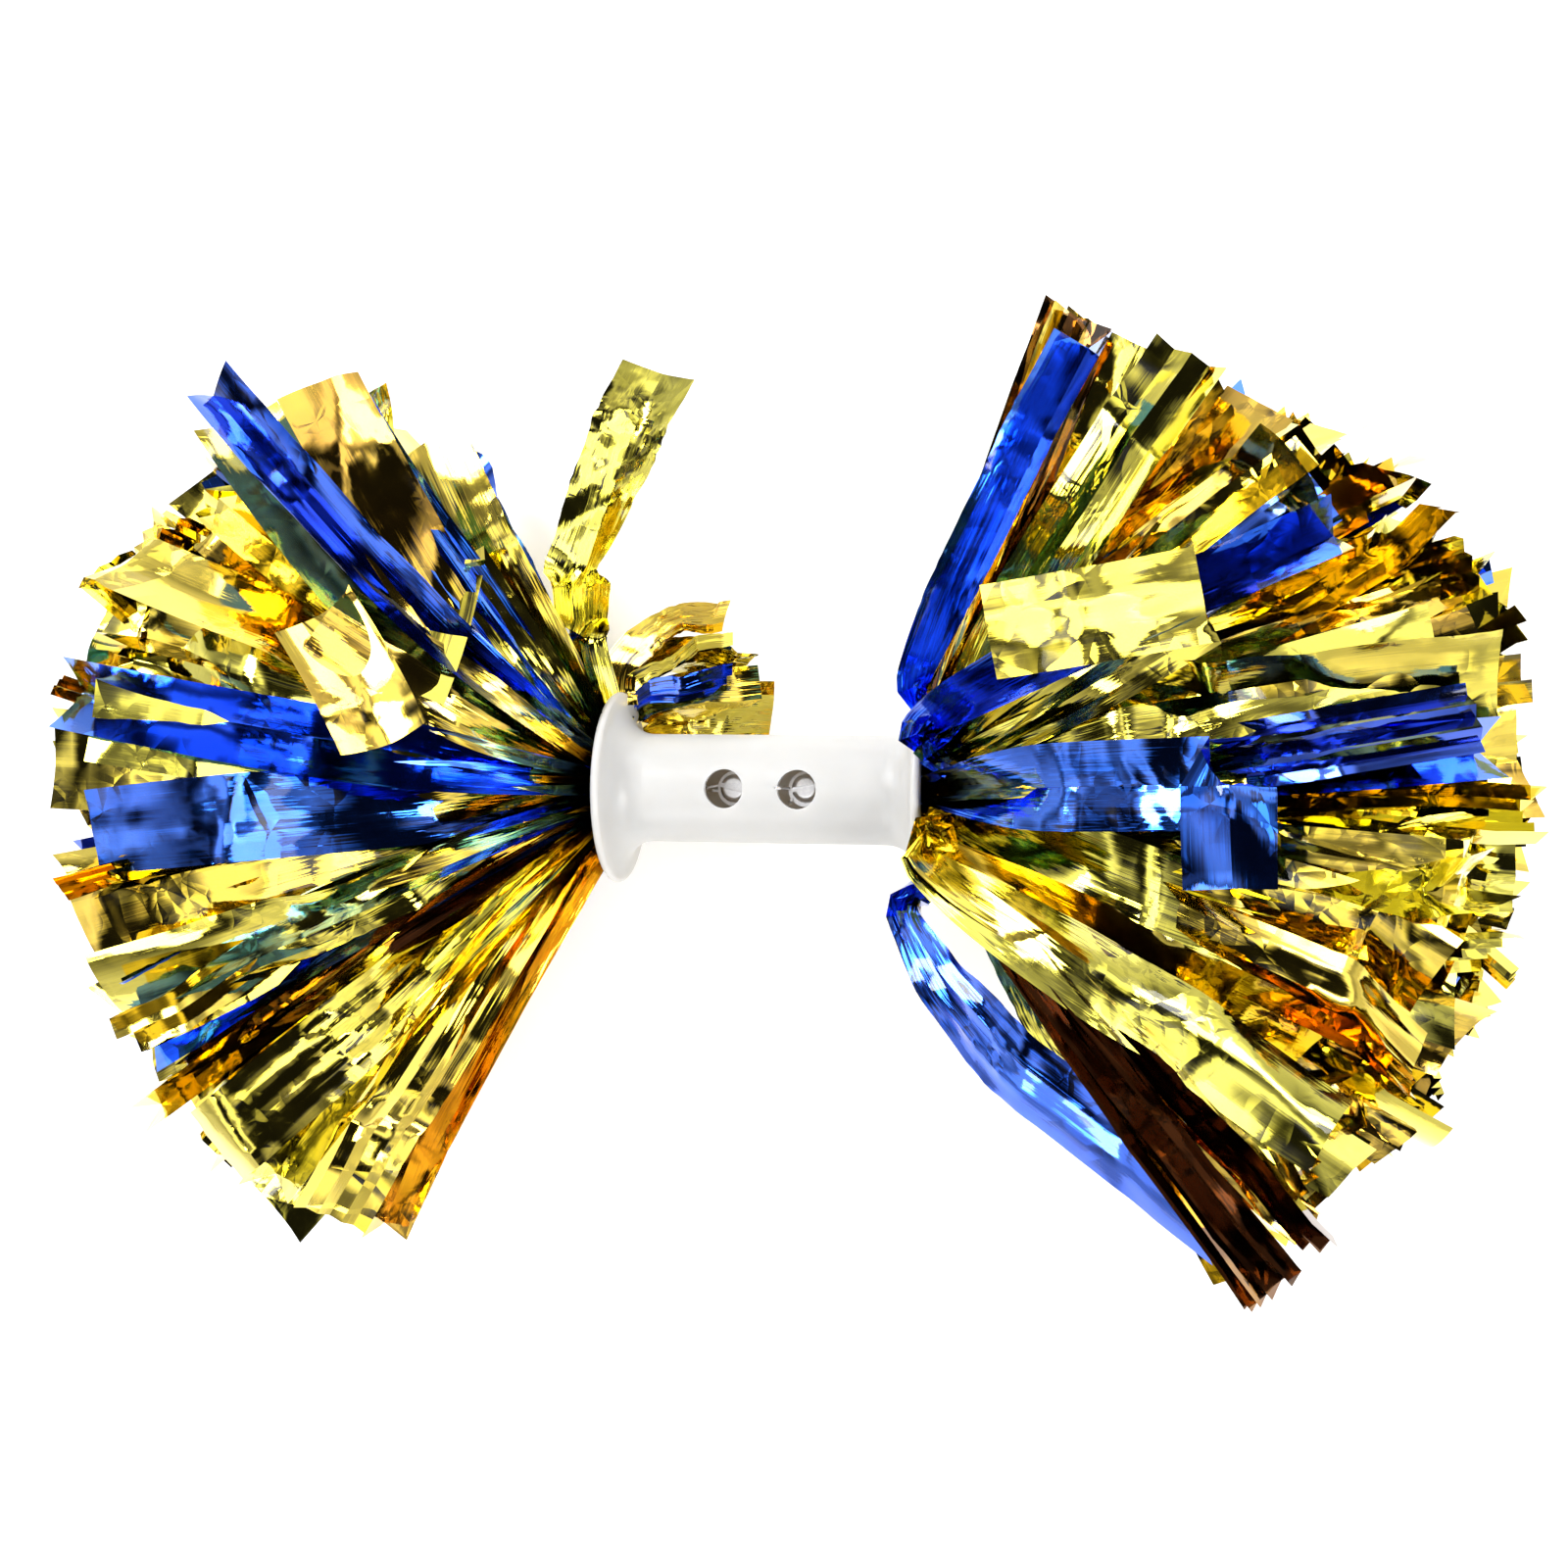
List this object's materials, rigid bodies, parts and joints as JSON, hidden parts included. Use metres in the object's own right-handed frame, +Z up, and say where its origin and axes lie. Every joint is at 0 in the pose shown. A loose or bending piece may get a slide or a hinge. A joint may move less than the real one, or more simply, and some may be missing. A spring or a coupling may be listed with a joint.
{
  "type": "cheer pom pom",
  "caption": "Cheer pom pom: a flanged white baton handle with gold and blue metallic streamer tassels wired into its ends.",
  "frame": {"origin": "centre of the handle, on its axis, midway between the flanges", "axes": "+X along the handle towards the right tassel, +Z up towards the side with the access holes, with the tassels lying on a surface below"},
  "size_m": [0.368, 0.2428, 0.1512],
  "materials": {
    "white_plastic": "satin moulded, slightly translucent",
    "steel": "bright zinc",
    "gold_film": "crinkled mirror foil",
    "blue_film": "crinkled mirror foil"
  },
  "bodies": {
    "handle": {"handle": "white_plastic", "left_clamp_screw": "steel", "right_clamp_screw": "steel", "left_washer": "steel", "right_washer": "steel", "left_tie_wire": "steel", "right_tie_wire": "steel", "left_gathered_fold": "gold_film", "right_gathered_fold": "gold_film"},
    "left_neck": {"left_streamer_neck": "gold_film"},
    "left_tassel": {"left_heart_streamers": "gold_film"},
    "right_neck": {"right_streamer_neck": "gold_film"},
    "right_tassel": {"right_heart_streamers": "gold_film"},
    "right_tall_streamers": {"right_tall_streamers": "gold_film"},
    "left_stray_streamer": {"left_stray_streamer": "gold_film"},
    "left_turned_back_streamers": {"left_turned_back_streamers": "gold_film"},
    "left_outer_streamers_1": {"left_outer_streamers_1": "gold_film"},
    "left_outer_streamers_2": {"left_outer_streamers_2": "gold_film"},
    "left_outer_streamers_3": {"left_outer_streamers_3": "blue_film"},
    "left_outer_streamers_4": {"left_outer_streamers_4": "gold_film"},
    "left_outer_streamers_5": {"left_outer_streamers_5": "gold_film"},
    "left_outer_streamers_6": {"left_outer_streamers_6": "gold_film"},
    "left_outer_streamers_7": {"left_outer_streamers_7": "blue_film"},
    "left_outer_streamers_8": {"left_outer_streamers_8": "gold_film"},
    "left_outer_streamers_9": {"left_outer_streamers_9": "gold_film"},
    "left_inner_streamers_1": {"left_inner_streamers_1": "gold_film"},
    "left_inner_streamers_2": {"left_inner_streamers_2": "blue_film"},
    "left_inner_streamers_3": {"left_inner_streamers_3": "gold_film"},
    "left_inner_streamers_4": {"left_inner_streamers_4": "gold_film"},
    "left_inner_streamers_5": {"left_inner_streamers_5": "blue_film"},
    "left_inner_streamers_6": {"left_inner_streamers_6": "gold_film"},
    "right_outer_streamers_1": {"right_outer_streamers_1": "gold_film"},
    "right_outer_streamers_2": {"right_outer_streamers_2": "gold_film"},
    "right_outer_streamers_3": {"right_outer_streamers_3": "blue_film"},
    "right_outer_streamers_4": {"right_outer_streamers_4": "gold_film"},
    "right_outer_streamers_5": {"right_outer_streamers_5": "gold_film"},
    "right_outer_streamers_6": {"right_outer_streamers_6": "gold_film"},
    "right_outer_streamers_7": {"right_outer_streamers_7": "blue_film"},
    "right_outer_streamers_8": {"right_outer_streamers_8": "gold_film"},
    "right_outer_streamers_9": {"right_outer_streamers_9": "gold_film"},
    "right_inner_streamers_1": {"right_inner_streamers_1": "gold_film"},
    "right_inner_streamers_2": {"right_inner_streamers_2": "blue_film"},
    "right_inner_streamers_3": {"right_inner_streamers_3": "gold_film"},
    "right_inner_streamers_4": {"right_inner_streamers_4": "gold_film"},
    "right_inner_streamers_5": {"right_inner_streamers_5": "blue_film"},
    "right_inner_streamers_6": {"right_inner_streamers_6": "gold_film"}
  },
  "joints": [
    {"name": "left_tassel_lift", "type": "hinge", "parent": "handle", "child": "left_neck", "pos_m": [-0.038, 0, 0], "axis": [0, 1, 0], "range_deg": [-12, 12], "stiffness_Nm_per_rad": 0.5},
    {"name": "left_tassel_sway", "type": "hinge", "parent": "left_neck", "child": "left_tassel", "pos_m": [-0.038, 0, 0], "axis": [0, 0, -1], "range_deg": [-10, 10], "stiffness_Nm_per_rad": 0.5},
    {"name": "right_tassel_lift", "type": "hinge", "parent": "handle", "child": "right_neck", "pos_m": [0.038, 0, 0], "axis": [0, -1, 0], "range_deg": [-12, 12], "stiffness_Nm_per_rad": 0.5},
    {"name": "right_tassel_sway", "type": "hinge", "parent": "right_neck", "child": "right_tassel", "pos_m": [0.038, 0, 0], "axis": [0, 0, 1], "range_deg": [-10, 10], "stiffness_Nm_per_rad": 0.5},
    {"name": "right_tall_streamers_fall", "type": "hinge", "parent": "right_tassel", "child": "right_tall_streamers", "pos_m": [0.038, 0, 0], "axis": [0, -0.0713, 0.9975], "range_deg": [-2, 25], "stiffness_Nm_per_rad": 0.02},
    {"name": "left_stray_streamer_turn", "type": "hinge", "parent": "handle", "child": "left_stray_streamer", "pos_m": [-0.038, 0, 0], "axis": [1, 0, 0], "range_deg": [-12, 25], "stiffness_Nm_per_rad": 0.002},
    {"name": "left_turned_back_turn", "type": "hinge", "parent": "handle", "child": "left_turned_back_streamers", "pos_m": [-0.038, 0, 0], "axis": [1, 0, 0], "range_deg": [-20, 10], "stiffness_Nm_per_rad": 0.002},
    {"name": "left_outer_streamers_1_spread", "type": "hinge", "parent": "left_tassel", "child": "left_outer_streamers_1", "pos_m": [-0.038, 0, 0], "axis": [0, 1, 0], "range_deg": [-4, 5], "stiffness_Nm_per_rad": 0.3},
    {"name": "left_outer_streamers_2_spread", "type": "hinge", "parent": "left_tassel", "child": "left_outer_streamers_2", "pos_m": [-0.038, 0, 0], "axis": [0, 0.6296, -0.7769], "range_deg": [-4, 5], "stiffness_Nm_per_rad": 0.3},
    {"name": "left_outer_streamers_3_spread", "type": "hinge", "parent": "left_tassel", "child": "left_outer_streamers_3", "pos_m": [-0.038, 0, 0], "axis": [0, 0.119, -0.9929], "range_deg": [-4, 5], "stiffness_Nm_per_rad": 0.3},
    {"name": "left_outer_streamers_4_spread", "type": "hinge", "parent": "left_tassel", "child": "left_outer_streamers_4", "pos_m": [-0.038, 0, 0], "axis": [0, -0.3654, -0.9308], "range_deg": [-4, 5], "stiffness_Nm_per_rad": 0.3},
    {"name": "left_outer_streamers_5_spread", "type": "hinge", "parent": "left_tassel", "child": "left_outer_streamers_5", "pos_m": [-0.038, 0, 0], "axis": [0, -0.8817, -0.4719], "range_deg": [-4, 5], "stiffness_Nm_per_rad": 0.3},
    {"name": "left_outer_streamers_6_spread", "type": "hinge", "parent": "left_tassel", "child": "left_outer_streamers_6", "pos_m": [-0.038, 0, 0], "axis": [0, -0.8817, 0.4719], "range_deg": [-4, 5], "stiffness_Nm_per_rad": 0.3},
    {"name": "left_outer_streamers_7_spread", "type": "hinge", "parent": "left_tassel", "child": "left_outer_streamers_7", "pos_m": [-0.038, 0, 0], "axis": [0, -0.3654, 0.9308], "range_deg": [-4, 5], "stiffness_Nm_per_rad": 0.3},
    {"name": "left_outer_streamers_8_spread", "type": "hinge", "parent": "left_tassel", "child": "left_outer_streamers_8", "pos_m": [-0.038, 0, 0], "axis": [0, 0.119, 0.9929], "range_deg": [-4, 5], "stiffness_Nm_per_rad": 0.3},
    {"name": "left_outer_streamers_9_spread", "type": "hinge", "parent": "left_tassel", "child": "left_outer_streamers_9", "pos_m": [-0.038, 0, 0], "axis": [0, 0.6296, 0.7769], "range_deg": [-4, 5], "stiffness_Nm_per_rad": 0.3},
    {"name": "left_inner_streamers_1_spread", "type": "hinge", "parent": "left_tassel", "child": "left_inner_streamers_1", "pos_m": [-0.038, 0, 0], "axis": [0, 1, 0], "range_deg": [-4, 4], "stiffness_Nm_per_rad": 0.3},
    {"name": "left_inner_streamers_2_spread", "type": "hinge", "parent": "left_tassel", "child": "left_inner_streamers_2", "pos_m": [-0.038, 0, 0], "axis": [0, 0.3654, -0.9308], "range_deg": [-4, 4], "stiffness_Nm_per_rad": 0.3},
    {"name": "left_inner_streamers_3_spread", "type": "hinge", "parent": "left_tassel", "child": "left_inner_streamers_3", "pos_m": [-0.038, 0, 0], "axis": [0, -0.3654, -0.9308], "range_deg": [-4, 4], "stiffness_Nm_per_rad": 0.3},
    {"name": "left_inner_streamers_4_spread", "type": "hinge", "parent": "left_tassel", "child": "left_inner_streamers_4", "pos_m": [-0.038, 0, 0], "axis": [0, -1, 0], "range_deg": [-4, 4], "stiffness_Nm_per_rad": 0.3},
    {"name": "left_inner_streamers_5_spread", "type": "hinge", "parent": "left_tassel", "child": "left_inner_streamers_5", "pos_m": [-0.038, 0, 0], "axis": [0, -0.3654, 0.9308], "range_deg": [-4, 4], "stiffness_Nm_per_rad": 0.3},
    {"name": "left_inner_streamers_6_spread", "type": "hinge", "parent": "left_tassel", "child": "left_inner_streamers_6", "pos_m": [-0.038, 0, 0], "axis": [0, 0.3654, 0.9308], "range_deg": [-4, 4], "stiffness_Nm_per_rad": 0.3},
    {"name": "right_outer_streamers_1_spread", "type": "hinge", "parent": "right_tassel", "child": "right_outer_streamers_1", "pos_m": [0.038, 0, 0], "axis": [0, -1, 0], "range_deg": [-4, 5], "stiffness_Nm_per_rad": 0.3},
    {"name": "right_outer_streamers_2_spread", "type": "hinge", "parent": "right_tassel", "child": "right_outer_streamers_2", "pos_m": [0.038, 0, 0], "axis": [0, -0.6296, 0.7769], "range_deg": [-4, 5], "stiffness_Nm_per_rad": 0.3},
    {"name": "right_outer_streamers_3_spread", "type": "hinge", "parent": "right_tassel", "child": "right_outer_streamers_3", "pos_m": [0.038, 0, 0], "axis": [0, -0.119, 0.9929], "range_deg": [-4, 5], "stiffness_Nm_per_rad": 0.3},
    {"name": "right_outer_streamers_4_spread", "type": "hinge", "parent": "right_tassel", "child": "right_outer_streamers_4", "pos_m": [0.038, 0, 0], "axis": [0, 0.3654, 0.9308], "range_deg": [-4, 5], "stiffness_Nm_per_rad": 0.3},
    {"name": "right_outer_streamers_5_spread", "type": "hinge", "parent": "right_tassel", "child": "right_outer_streamers_5", "pos_m": [0.038, 0, 0], "axis": [0, 0.8817, 0.4719], "range_deg": [-4, 5], "stiffness_Nm_per_rad": 0.3},
    {"name": "right_outer_streamers_6_spread", "type": "hinge", "parent": "right_tassel", "child": "right_outer_streamers_6", "pos_m": [0.038, 0, 0], "axis": [0, 0.8817, -0.4719], "range_deg": [-4, 5], "stiffness_Nm_per_rad": 0.3},
    {"name": "right_outer_streamers_7_spread", "type": "hinge", "parent": "right_tassel", "child": "right_outer_streamers_7", "pos_m": [0.038, 0, 0], "axis": [0, 0.3654, -0.9308], "range_deg": [-4, 5], "stiffness_Nm_per_rad": 0.3},
    {"name": "right_outer_streamers_8_spread", "type": "hinge", "parent": "right_tassel", "child": "right_outer_streamers_8", "pos_m": [0.038, 0, 0], "axis": [0, -0.119, -0.9929], "range_deg": [-4, 5], "stiffness_Nm_per_rad": 0.3},
    {"name": "right_outer_streamers_9_spread", "type": "hinge", "parent": "right_tassel", "child": "right_outer_streamers_9", "pos_m": [0.038, 0, 0], "axis": [0, -0.6296, -0.7769], "range_deg": [-4, 5], "stiffness_Nm_per_rad": 0.3},
    {"name": "right_inner_streamers_1_spread", "type": "hinge", "parent": "right_tassel", "child": "right_inner_streamers_1", "pos_m": [0.038, 0, 0], "axis": [0, -1, 0], "range_deg": [-4, 4], "stiffness_Nm_per_rad": 0.3},
    {"name": "right_inner_streamers_2_spread", "type": "hinge", "parent": "right_tassel", "child": "right_inner_streamers_2", "pos_m": [0.038, 0, 0], "axis": [0, -0.3654, 0.9308], "range_deg": [-4, 4], "stiffness_Nm_per_rad": 0.3},
    {"name": "right_inner_streamers_3_spread", "type": "hinge", "parent": "right_tassel", "child": "right_inner_streamers_3", "pos_m": [0.038, 0, 0], "axis": [0, 0.3654, 0.9308], "range_deg": [-4, 4], "stiffness_Nm_per_rad": 0.3},
    {"name": "right_inner_streamers_4_spread", "type": "hinge", "parent": "right_tassel", "child": "right_inner_streamers_4", "pos_m": [0.038, 0, 0], "axis": [0, 1, 0], "range_deg": [-4, 4], "stiffness_Nm_per_rad": 0.3},
    {"name": "right_inner_streamers_5_spread", "type": "hinge", "parent": "right_tassel", "child": "right_inner_streamers_5", "pos_m": [0.038, 0, 0], "axis": [0, 0.3654, -0.9308], "range_deg": [-4, 4], "stiffness_Nm_per_rad": 0.3},
    {"name": "right_inner_streamers_6_spread", "type": "hinge", "parent": "right_tassel", "child": "right_inner_streamers_6", "pos_m": [0.038, 0, 0], "axis": [0, -0.3654, -0.9308], "range_deg": [-4, 4], "stiffness_Nm_per_rad": 0.3}
  ]
}
